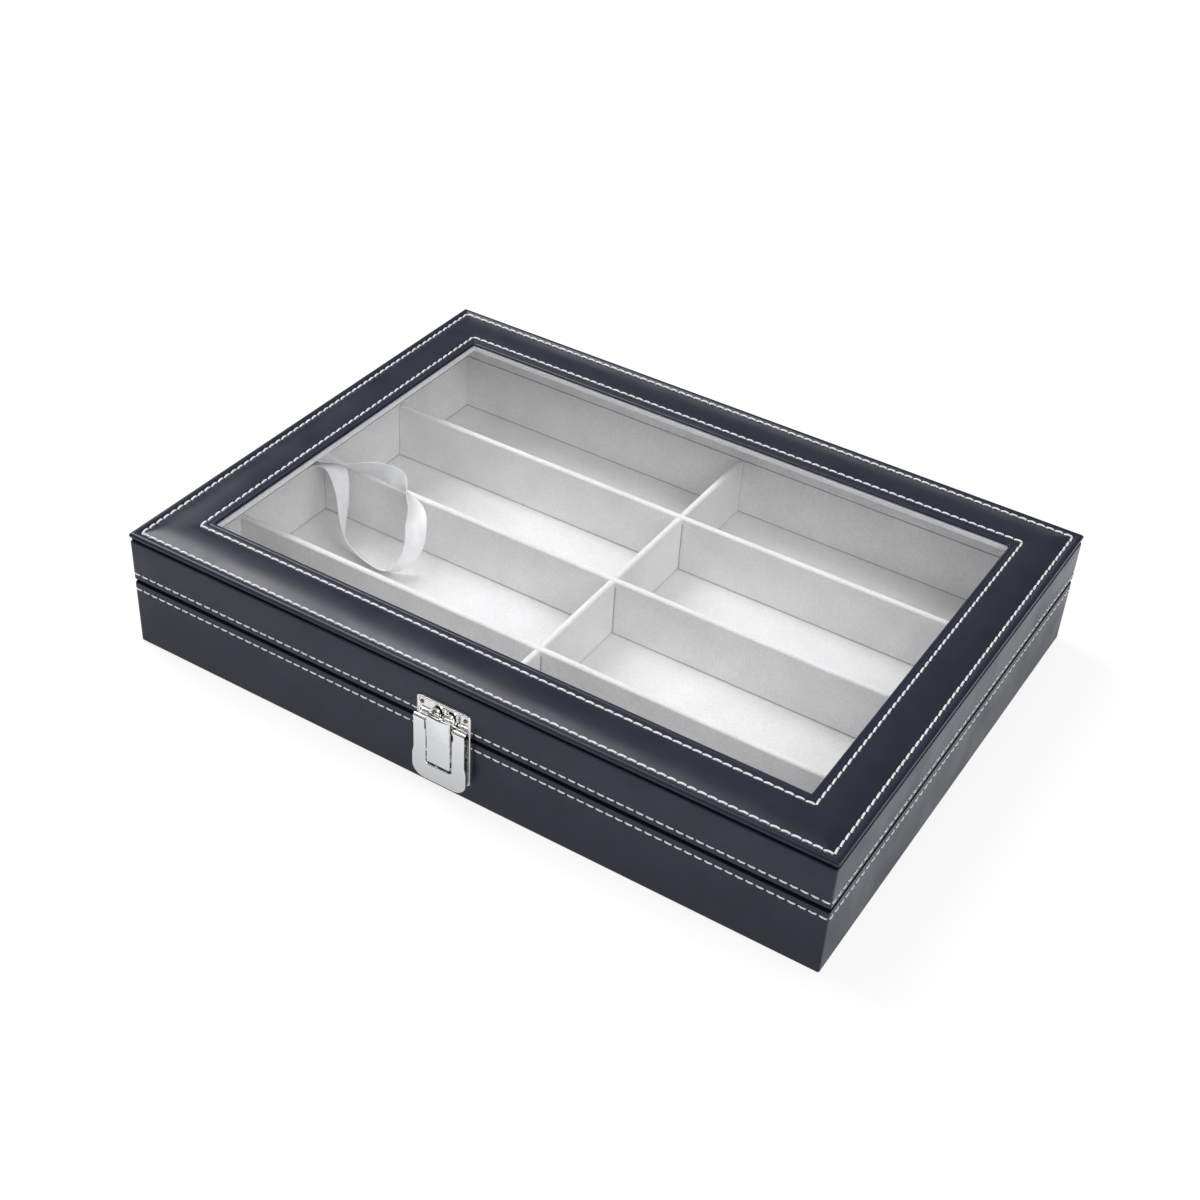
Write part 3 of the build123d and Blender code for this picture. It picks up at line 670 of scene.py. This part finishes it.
def wrap_section(foot, rim, rim_r, row):
    """The section of a side wrap from its foot to its folded rim; the rim may be above or below."""
    up = 1 if rim > foot else -1
    straight = rim - up * rim_r
    rows = [(LEATHER_WALL, foot - up * 0.05, 0.3), (0.5, foot, 0.4), (0.25, foot + up * 0.12, 0.6),
            (0.07, foot + up * 0.35, 0.8)]
    heights = [foot + up * 0.7, row - up * 6, row - up * 2.4]
    heights += [row + up * d for d in (-1.2, -0.5, 0, 0.5, 1.2, 2.0) if (straight - row) * up > d + 0.2]
    rows += [(0, z, CORNER_R) for z in heights + [straight]]
    for part in range(1, 7):
        a = math.pi / 2 * part / 6
        rows.append((rim_r * (1 - math.cos(a)), straight + up * rim_r * math.sin(a),
                     CORNER_R + 0.5 * math.sin(a)))
    rows += [(FOLD_IN - 0.35, rim, 0.4), (FOLD_IN - 0.1, rim - up * 0.1, 0.3),
             (FOLD_IN, rim - up * 0.35, 0.2), (FOLD_IN, rim - up * FOLD_T, 0.2),
             (LEATHER_WALL, rim - up * FOLD_T, 0.2)]
    return [(d, d, z, r) for d, z, r in rows]


def side_wrap(name, node, body, foot, rim, rim_r, row):
    """A leather wrap of the base or the lid, dimpled along its row of stitches."""
    points = swept(wrap_section(foot, rim, rim_r, row))
    x, y, z = points[:, :, 0], points[:, :, 1], points[:, :, 2]
    along = np.where(ON_LONG_SIDE, x + HALF_X, y + HALF_Y)
    pull = SIDE_PULL * np.exp(-((z - row) / SIDE_PULL_WIDTH) ** 2) * holes(along)
    outside = (HALF_X - np.abs(x) < SKIN) | (HALF_Y - np.abs(y) < SKIN)
    points[:, :, 0] -= turns[:, 2] * pull * outside
    points[:, :, 1] -= turns[:, 3] * pull * outside
    faces = loops_joined(points)
    if rim < foot:
        faces = [face[::-1] for face in faces]
    wrap = piece(name, points, faces, leatherette, body)
    # Painted shade on the rims along the seam's gap.
    paint_fold_shade(wrap, SHADE_LOW, SHADE_HIGH)
    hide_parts(node)


side_wrap("base_side_wrap", "base_leather", "base", base_low.z, RIM_Z, BASE_RIM_R, BASE_ROW_Z)
side_wrap("lid_side_wrap", "lid_side_leather", "lid", CREVICE_Z, LID_Z, LID_RIM_R, LID_ROW_Z)

# %% [markdown]
# ## Stitches
# The case is sewn with about a thousand stitches. A Geometry Nodes tree makes them all: it
# takes lines with an outward direction, spaces points along them and puts a short arched thread on
# every point, its ends sunk in the leather. Only the lines differ from row to row, so the tree has
# inputs for the length, thickness, rise and slant of a stitch.

# %% The tree of one row of stitches
TOP_STITCH = 3.5, 1.0, 0.7, 6
SIDE_STITCH = 3.1, 0.72, 0.45, 0
OVER_VALLEY = 0.15
sewing = bpy.data.node_groups.new("row_of_stitches", "GeometryNodeTree")
for title, kind, direction in (
    ("Lines", "NodeSocketGeometry", "INPUT"), ("Pitch", "NodeSocketFloat", "INPUT"),
    ("Length", "NodeSocketFloat", "INPUT"), ("Thickness", "NodeSocketFloat", "INPUT"),
    ("Rise", "NodeSocketFloat", "INPUT"), ("Slant", "NodeSocketFloat", "INPUT"),
    ("Thread", "NodeSocketMaterial", "INPUT"), ("Stitches", "NodeSocketGeometry", "OUTPUT"),
):
    sewing.interface.new_socket(title, in_out=direction, socket_type=kind)
given = add(sewing, "NodeGroupInput").outputs
half = add(sewing, "ShaderNodeMath", {"operation": "MULTIPLY", 1: 0.5}, {0: given["Length"]})
minus = add(sewing, "ShaderNodeMath", {"operation": "MULTIPLY", 1: -0.5}, {0: given["Length"]})
sunk = add(sewing, "ShaderNodeMath", {"operation": "MULTIPLY", 1: -0.25}, {0: given["Thickness"]})
start = add(sewing, "ShaderNodeCombineXYZ", links={"X": minus.outputs[0], "Z": sunk.outputs[0]})
middle = add(sewing, "ShaderNodeCombineXYZ", links={"Z": given["Rise"]})
end = add(sewing, "ShaderNodeCombineXYZ", links={"X": half.outputs[0], "Z": sunk.outputs[0]})
arch = add(sewing, "GeometryNodeCurveQuadraticBezier", {"Resolution": 5},
           {"Start": start.outputs[0], "Middle": middle.outputs[0], "End": end.outputs[0]})
radius = add(sewing, "ShaderNodeMath", {"operation": "MULTIPLY", 1: 0.5}, {0: given["Thickness"]})
round_thread = add(sewing, "GeometryNodeCurvePrimitiveCircle", {"Resolution": 6},
                   {"Radius": radius.outputs[0]})
stitch = add(sewing, "GeometryNodeCurveToMesh", {"Fill Caps": True},
             {"Curve": arch.outputs[0], "Profile Curve": round_thread.outputs[0]})
lines = add(sewing, "GeometryNodeMeshToCurve", links={"Mesh": given["Lines"]})
spaced = add(sewing, "GeometryNodeResampleCurve", {"mode": "LENGTH"},
             {"Curve": lines.outputs[0], "Length": given["Pitch"]})
outward = add(sewing, "GeometryNodeInputNamedAttribute", {"data_type": "FLOAT_VECTOR", "Name": "outward"})
tangent = add(sewing, "GeometryNodeInputTangent")
laid = add(sewing, "FunctionNodeAlignRotationToVector", {"axis": "X"}, {"Vector": tangent.outputs[0]})
upright = add(sewing, "FunctionNodeAlignRotationToVector", {"axis": "Z", "pivot_axis": "X"},
              {"Rotation": laid.outputs[0], "Vector": outward.outputs[0]})
lean = add(sewing, "FunctionNodeAxisAngleToRotation", {"Axis": (0, 0, 1)}, {"Angle": given["Slant"]})
placed = add(sewing, "FunctionNodeRotateRotation", {"rotation_space": "LOCAL"},
             {"Rotation": upright.outputs[0], "Rotate By": lean.outputs[0]})
sewn = add(sewing, "GeometryNodeInstanceOnPoints", links={
    "Points": spaced.outputs[0], "Instance": stitch.outputs[0], "Rotation": placed.outputs[0]})
real = add(sewing, "GeometryNodeRealizeInstances", links={"Geometry": sewn.outputs[0]})
smooth = add(sewing, "GeometryNodeSetShadeSmooth", links={"Geometry": real.outputs[0]})
dressed = add(sewing, "GeometryNodeSetMaterial",
              links={"Geometry": smooth.outputs[0], "Material": given["Thread"]})
add(sewing, "NodeGroupOutput", links={0: dressed.outputs[0]})
sockets = {item.name: item.identifier for item in sewing.interface.items_tree}


def sewn_row(inset_x, inset_y, z, on_top, length, thickness, rise, slant):
    """The mesh of one row of stitches round the case, on the top or on the sides.

    The length, thickness and rise of a stitch are in mm, and its slant is in degrees."""
    points, outwards = [], []
    half_x, half_y = HALF_X - inset_x, HALF_Y - inset_y
    for (x1, y1), (x2, y2), out in (
        ((-half_x, -half_y), (half_x, -half_y), (0, -1, 0)),
        ((half_x, -half_y), (half_x, half_y), (1, 0, 0)),
        ((half_x, half_y), (-half_x, half_y), (0, 1, 0)),
        ((-half_x, half_y), (-half_x, -half_y), (-1, 0, 0)),
    ):
        run = Vector((x2 - x1, y2 - y1, 0))
        spare = run.normalized() * (run.length / math.floor(run.length / PITCH) / 2)
        points += [Vector((x1, y1, z)) + spare, Vector((x2, y2, z)) - spare]
        outwards += [(0, 0, 1) if on_top else out] * 2
    mesh = bpy.data.meshes.new("stitch_lines")
    mesh.from_pydata([p * MM for p in points], [(0, 1), (2, 3), (4, 5), (6, 7)], [])
    mesh.attributes.new("outward", "FLOAT_VECTOR", "POINT").data.foreach_set(
        "vector", np.array(outwards, np.float32).ravel())
    holder = bpy.data.objects.new("stitch_lines", mesh)
    bpy.context.scene.collection.objects.link(holder)
    row = holder.modifiers.new("sewing", "NODES")
    row.node_group = sewing
    for title, value in (("Pitch", PITCH * MM), ("Length", length * MM), ("Thickness", thickness * MM),
                         ("Rise", rise * MM), ("Slant", math.radians(slant)), ("Thread", thread)):
        row[sockets[title]] = value
    made = bpy.data.meshes.new_from_object(holder.evaluated_get(bpy.context.evaluated_depsgraph_get()))
    bpy.data.objects.remove(holder)
    return made


def sewn_piece(name, body, rows):
    """All rows of one body joined in one mesh."""
    joined = bmesh.new()
    for row in rows:
        joined.from_mesh(row)
    mesh = bpy.data.meshes.new(name)
    joined.to_mesh(mesh)
    joined.free()
    mesh.materials.clear()
    mesh.materials.append(thread)
    made = bpy.data.objects.new(name, mesh)
    bpy.context.scene.collection.objects.link(made)
    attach(made, body)
    print(name, len(mesh.polygons), "faces")


sewn_piece("lid_stitches", "lid", [
    sewn_row(ROW_OUT, ROW_OUT, VALLEY_Z + OVER_VALLEY, True, *TOP_STITCH),
    sewn_row(*ROW_IN, INNER_Z, True, *TOP_STITCH),
    sewn_row(0, 0, LID_ROW_Z, False, *SIDE_STITCH),
])
sewn_piece("base_stitches", "base", [sewn_row(0, 0, BASE_ROW_Z, False, *SIDE_STITCH)])

# %% [markdown]
# ## Velvet
# The velvet pieces are boards and cards with cloth glued round them, so their edges are soft. Each
# one starts as a copy of its CAD node. The copy's loose triangles are merged, flat faces are
# joined up, and the sharp edges get round bevels. Normals weighted by face area keep
# the large faces flat to the eye.

# %% Softening a copy of a CAD node
WELD = 1e-6
FLAT_ANGLE, SHARP_ANGLE = math.radians(1), math.radians(40)


def softened(name, node, material, body, bevels, steps=3, shape=None):
    """A copy of a CAD node, shaped further if asked, with its sharp edges rounded, in place of the node.

    Each bevel is a test that picks edges by their middle in mm, or None for every edge, and a width."""
    form = bmesh.new()
    form.from_mesh(nodes[node].data)
    bmesh.ops.remove_doubles(form, verts=form.verts, dist=WELD)
    bmesh.ops.dissolve_limit(form, angle_limit=FLAT_ANGLE, verts=form.verts, edges=form.edges)
    if shape:
        shape(form)
    for chosen, width in bevels:
        sharp = [e for e in form.edges if e.is_manifold and e.calc_face_angle(0) > SHARP_ANGLE
                 and (chosen is None or chosen((e.verts[0].co + e.verts[1].co) / 2 / MM))]
        bmesh.ops.bevel(form, geom=sharp, offset=width * MM, segments=steps, profile=0.5, affect="EDGES",
                        clamp_overlap=True)
    bmesh.ops.remove_doubles(form, verts=form.verts, dist=2 * WELD)
    bmesh.ops.recalc_face_normals(form, faces=form.faces)
    mesh = bpy.data.meshes.new(name)
    form.to_mesh(mesh)
    form.free()
    if "custom_normal" in mesh.attributes:
        mesh.attributes.remove(mesh.attributes["custom_normal"])
    mesh.materials.clear()
    mesh.materials.append(material)
    mesh.polygons.foreach_set("use_smooth", [True] * len(mesh.polygons))
    shaded = np.zeros((len(mesh.vertices), 3))
    for face in mesh.polygons:
        shaded[list(face.vertices)] += np.array(face.normal) * face.area
    shaded /= np.maximum(np.linalg.norm(shaded, axis=1), 1e-12)[:, None]
    mesh.normals_split_custom_set_from_vertices(shaded.tolist())
    made = bpy.data.objects.new(name, mesh)
    bpy.context.scene.collection.objects.link(made)
    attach(made, body)
    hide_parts(node)
    return made


# %% Linings, dividers and floor
SIDES = ("front", "back", "left", "right")
SEAM_FILL, SEAM_REACH = 0.13, 0.9
CARD_BEVEL, TRIM_BEVEL = [(None, 0.25)], [(None, 0.2)]


def towards_seam(form):
    """Let the pile stand a little into the seam, so that it closes as cloth does."""
    for vert in form.verts:
        gap = SEAM_Z * MM - vert.co.z
        if abs(gap) < SEAM_REACH * MM:
            vert.co.z += math.copysign(SEAM_FILL * MM, gap)


for level in ("base", "lid"):
    for side in SIDES:
        node = f"{level}_{side}_lining"
        card = softened(f"{level}_{side}_velvet", node, wall_velvet, level,
                        CARD_BEVEL, 2, towards_seam)

EDGE_REACH = 0.1
SLOT_REACH, SLOT_PRESS = 0.3, 0.03


def is_top_edge(middle):
    return middle.z > DIVIDER_TOP - EDGE_REACH


def is_foot(middle):
    return middle.z < DIVIDER_FOOT + EDGE_REACH


def slot_closed(form):
    """Let the pile of a cross divider's slot press on the long divider that stands in it."""
    for vert in form.verts:
        if abs(vert.co.x) < (LONG_FACE_X + SLOT_REACH) * MM:
            vert.co.x = math.copysign((LONG_FACE_X - SLOT_PRESS) * MM, vert.co.x)


divider_bevels = [(is_top_edge, 1.35), (is_foot, 0.6)]
softened("long_velvet_divider", "long_divider_1", wall_velvet, "base",
         divider_bevels, 5)
for number in (1, 2, 3):
    softened(f"cross_velvet_divider_{number}", f"cross_divider_{number}", cross_velvet, "base",
             divider_bevels, 5, slot_closed)

pad = softened("velvet_floor_pad", "floor_pad", floor_velvet, "base", CARD_BEVEL, 2)
softened("window_velvet_trim", "window_trim", trim_velvet, "lid", TRIM_BEVEL, 2)
print("velvet pieces done")

# %% [markdown]
# ## Latch
# The latch is stamped from thin steel before it is plated, so its edges are soft and catch a
# bright line each. Copies of the CAD plates get small bevels, with larger ones on the
# two domed humps, and a fold is pressed across the link.

# %% Latch plates and link
LATCH_X = -3.0
HUMP_DEPTH, LEDGE_Z = 2.5, 39.6
FOLD_Z, FOLD_HALF, FOLD_OUT = 29.8, 0.3, 0.35
LINK_LOW = limits("latch_link")[0]
CORNER_UP, CORNER_DEEP, CORNER_FROM_X = 0.8, 0.9, 5.4
FRONT_DEEP = 0.75


def is_hump_edge(middle):
    return middle.y < -HALF_Y - HUMP_DEPTH and middle.z > LEDGE_Z


def is_link_corner(middle):
    return (middle.z < LINK_LOW.z + CORNER_UP and middle.y < LINK_LOW.y + CORNER_DEEP
            and abs(middle.x - LATCH_X) > CORNER_FROM_X)


def is_link_front(middle):
    return middle.y < LINK_LOW.y + FRONT_DEEP


def pressed_fold(form):
    """Set the upper half of the link's face forward, with a round step between the halves."""
    heights = np.linspace(FOLD_Z - FOLD_HALF, FOLD_Z + FOLD_HALF, 7)
    for height in heights:
        everything = form.verts[:] + form.edges[:] + form.faces[:]
        bmesh.ops.bisect_plane(form, geom=everything, plane_co=(0, 0, height * MM), plane_no=(0, 0, 1))
    for vert in form.verts:
        if vert.co.y / MM < LINK_LOW.y + EDGE_REACH:
            share = min(1, max(0, (vert.co.z / MM - heights[0]) / (2 * FOLD_HALF)))
            vert.co.y -= FOLD_OUT * MM * share * share * (3 - 2 * share)


softened("latch_stamped_strike_plate", "latch_strike_plate", chrome, "lid",
         [(is_hump_edge, 0.55), (None, 0.14)])
softened("latch_stamped_base_plate", "latch_base_plate", chrome, "base", [(None, 0.14)])
softened("latch_pressed_link", "latch_link", chrome, "latch_link",
         [(is_link_corner, 1.2), (is_link_front, 0.28)], 4, pressed_fold)
print("latch plates softened")

# %% [markdown]
# Both plates have a narrow raised rim pressed round them. It is one small half-round section
# swept along a rounded rectangle, and its foot is sunk in the plate.

# %% Raised rims of the latch plates
PLATE_T = 0.8
RIM_IN, RIM_HALF, RIM_UP, RIM_TURN_R = 0.75, 0.62, 0.4, 1.05
RIM_SUNK = 0.2


def raised_rim(name, node, body):
    """A half-round rim swept round the face of a latch plate, a little inside its edge."""
    low, high = limits(node)
    middle_x, middle_z = (low.x + high.x) / 2, (low.z + high.z) / 2
    straight_x = (high.x - low.x) / 2 - RIM_IN - RIM_TURN_R
    straight_z = (high.z - low.z) / 2 - RIM_IN - RIM_TURN_R
    path = []
    for corner_x, corner_z, first_angle in ((-1, -1, 180), (1, -1, 270), (1, 1, 0), (-1, 1, 90)):
        for part in range(7):
            a = math.radians(first_angle + 15 * part)
            path.append((middle_x + corner_x * straight_x, middle_z + corner_z * straight_z,
                         math.cos(a), math.sin(a)))
    section = [(RIM_HALF * math.cos(math.pi * k / 8), RIM_UP * math.sin(math.pi * k / 8))
               for k in range(9)]
    section += [(-RIM_HALF, -RIM_SUNK), (RIM_HALF, -RIM_SUNK)]
    rings = np.array([[(x + (RIM_TURN_R + across) * out_x, -HALF_Y - PLATE_T - up,
                        z + (RIM_TURN_R + across) * out_z)
                       for x, z, out_x, out_z in path] for across, up in section])
    return piece(name, rings, loops_joined(rings), chrome, body)


raised_rim("latch_strike_rim", "latch_strike_plate", "lid")
raised_rim("latch_base_rim", "latch_base_plate", "base")

# %% [markdown]
# ## Ribbon
# The stay is a satin ribbon glued to the wall of the base at one end and of the lid at the other.
# With the lid shut it lies in a loop that twists: flat on the wall, edge-on to the eye along
# the floor, and broad again where it rises. A row of points down its middle, each with the direction
# of its width, says all of that, and a smooth curve through them makes the band.

# %% The ribbon's line
RIBBON_W = 10.0
RIBBON_T = 0.2
ribbon_line = np.array([
    (-161.2, -8, 31, 0, 1, 0), (-160.8, -7.5, 34, 0, 1, 0), (-156, -6.5, 36.2, 0.2, 1, 0),
    (-149, -7, 35, 0.4, 0.9, -0.1), (-142, -12, 27, 0.1, 0.85, -0.5),
    (-136, -19.5, 16.5, -0.25, 0.7, -0.65), (-132.5, -22.7, 12.2, -0.35, 0.55, -0.75),
    (-127, -25, 9.7, -0.2, 0.6, -0.8), (-113, -28.3, 8, 0, 0.7, -0.7), (-103, -27, 8, 0, 0.85, -0.55),
    (-98.2, -21.5, 13.5, 0.2, 0.8, -0.55), (-97.6, -17.2, 20, 0.55, 0.7, -0.45),
    (-99.4, -13.2, 25.6, 0.7, 0.7, -0.2), (-103, -9, 31.6, 0.3, 0.85, -0.4),
    (-106.5, -6.5, 35.2, 0, 0.8, -0.6), (-113.5, -3.4, 39.6, -0.25, -0.05, -0.95),
    (-119.5, -2.7, 40.5, -0.05, -0.2, -1), (-129, -3.1, 39.9, 0.1, 0.2, -1),
    (-138.2, -4.3, 38.3, 0.1, 0.6, -0.8), (-149, -6, 37.6, 0, 0.85, -0.5),
    (-158, -6.6, 38.5, 0, 1, 0), (-161.2, -6.8, 41.5, 0, 1, 0), (-161.2, -6.6, 46, 0, 1, 0),
])
RIBBON_SPLIT = 14
WALL_FACE_X = -161.25


def smooth_line(knots, steps):
    """A curve through the knots, with the slope at each knot taken from its neighbours."""
    slopes = np.gradient(knots, axis=0)
    shares = np.linspace(0, 1, steps, endpoint=False)[:, None]
    parts = []
    for a, b, slope_a, slope_b in zip(knots[:-1], knots[1:], slopes[:-1], slopes[1:]):
        s2, s3 = shares ** 2, shares ** 3
        parts.append((2 * s3 - 3 * s2 + 1) * a + (s3 - 2 * s2 + shares) * slope_a
                     + (3 * s2 - 2 * s3) * b + (s3 - s2) * slope_b)
    return np.vstack(parts + [knots[-1:]])


STEPS_A_KNOT = 9
curve = smooth_line(ribbon_line, STEPS_A_KNOT)
middle_line, width_way = curve[:, :3], curve[:, 3:]
middle_line[:, 0] = np.maximum(middle_line[:, 0], WALL_FACE_X)
along_way = np.gradient(middle_line, axis=0)
along_way /= np.linalg.norm(along_way, axis=1)[:, None]
width_way -= (width_way * along_way).sum(1)[:, None] * along_way
width_way /= np.linalg.norm(width_way, axis=1)[:, None]
face_way = np.cross(along_way, width_way)
ribbon_length = np.linalg.norm(np.diff(middle_line, axis=0), axis=1).sum()
print("ribbon length", round(ribbon_length, 1), "mm")

# %% [markdown]
# The ribbon crosses the hinge, so it must stretch from one body to the other. Its two halves
# meet on one line across it.

# %% Two halves of the ribbon
ACROSS = 10
CUP, RISE_CUP, RISE_AT, RISE_SPAN = 0.2, 2.6, 12.0, 1.6


def ribbon_half(name, first, last):
    """A thin closed band between two points of the ribbon's line."""
    cut = slice(first, last + 1)
    offsets = np.linspace(-0.5, 0.5, ACROSS + 1) * RIBBON_W
    knot = np.arange(first, last + 1) / STEPS_A_KNOT
    cup = CUP + RISE_CUP * np.exp(-((knot - RISE_AT) / RISE_SPAN) ** 2)
    rise = RIBBON_T / 2 - cup[:, None] * (2 * offsets / RIBBON_W) ** 2
    front = (middle_line[cut, None] + offsets[:, None] * width_way[cut, None]
             + rise[:, :, None] * face_way[cut, None])
    back = front - RIBBON_T * face_way[cut, None]
    rings = np.concatenate((front, back[:, ::-1]), axis=1)
    rows, columns = rings.shape[:2]
    faces = [(i * columns + j, i * columns + (j + 1) % columns, (i + 1) * columns + (j + 1) % columns,
              (i + 1) * columns + j) for i in range(rows - 1) for j in range(columns)]
    for base_index, turned in ((0, False), ((rows - 1) * columns, True)):
        for j in range(ACROSS):
            quad = [base_index + k for k in (j + 1, j, columns - 1 - j, columns - 2 - j)]
            faces.append(tuple(quad[::-1] if turned else quad))
    half_band = piece(name, rings, faces, satin, None)
    half_band.data.set_sharp_from_angle(angle=math.radians(50))
    return half_band


split = RIBBON_SPLIT * STEPS_A_KNOT
base_half = ribbon_half("ribbon_base_half", 0, split)
lid_half = ribbon_half("ribbon_lid_half", split, len(middle_line) - 1)
reach_way = np.array((1.0, 0.0, 0.0))
reach_way -= reach_way @ width_way[split] * width_way[split]
reach_way /= np.linalg.norm(reach_way)
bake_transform(base_half)
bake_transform(lid_half)
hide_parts("ribbon_stay")
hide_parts("ribbon_stay")

# %% [markdown]
# The narrow lamp at the front draws the bright line along the bead. It lights the leather only, since
# the rolled chrome of the latch would turn white all over under it.

# %% What the narrow lamp lights
lit = bpy.data.collections.new("lit_by_rim_front_left")
for name in ("lid_top_padded_leather", "lid_side_wrap", "base_side_wrap", "lid_stitches", "base_stitches"):
    lit.objects.link(bpy.data.objects[name])
bpy.data.objects["rim_front_left"].light_linking.receiver_collection = lit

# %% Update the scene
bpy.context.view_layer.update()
import json
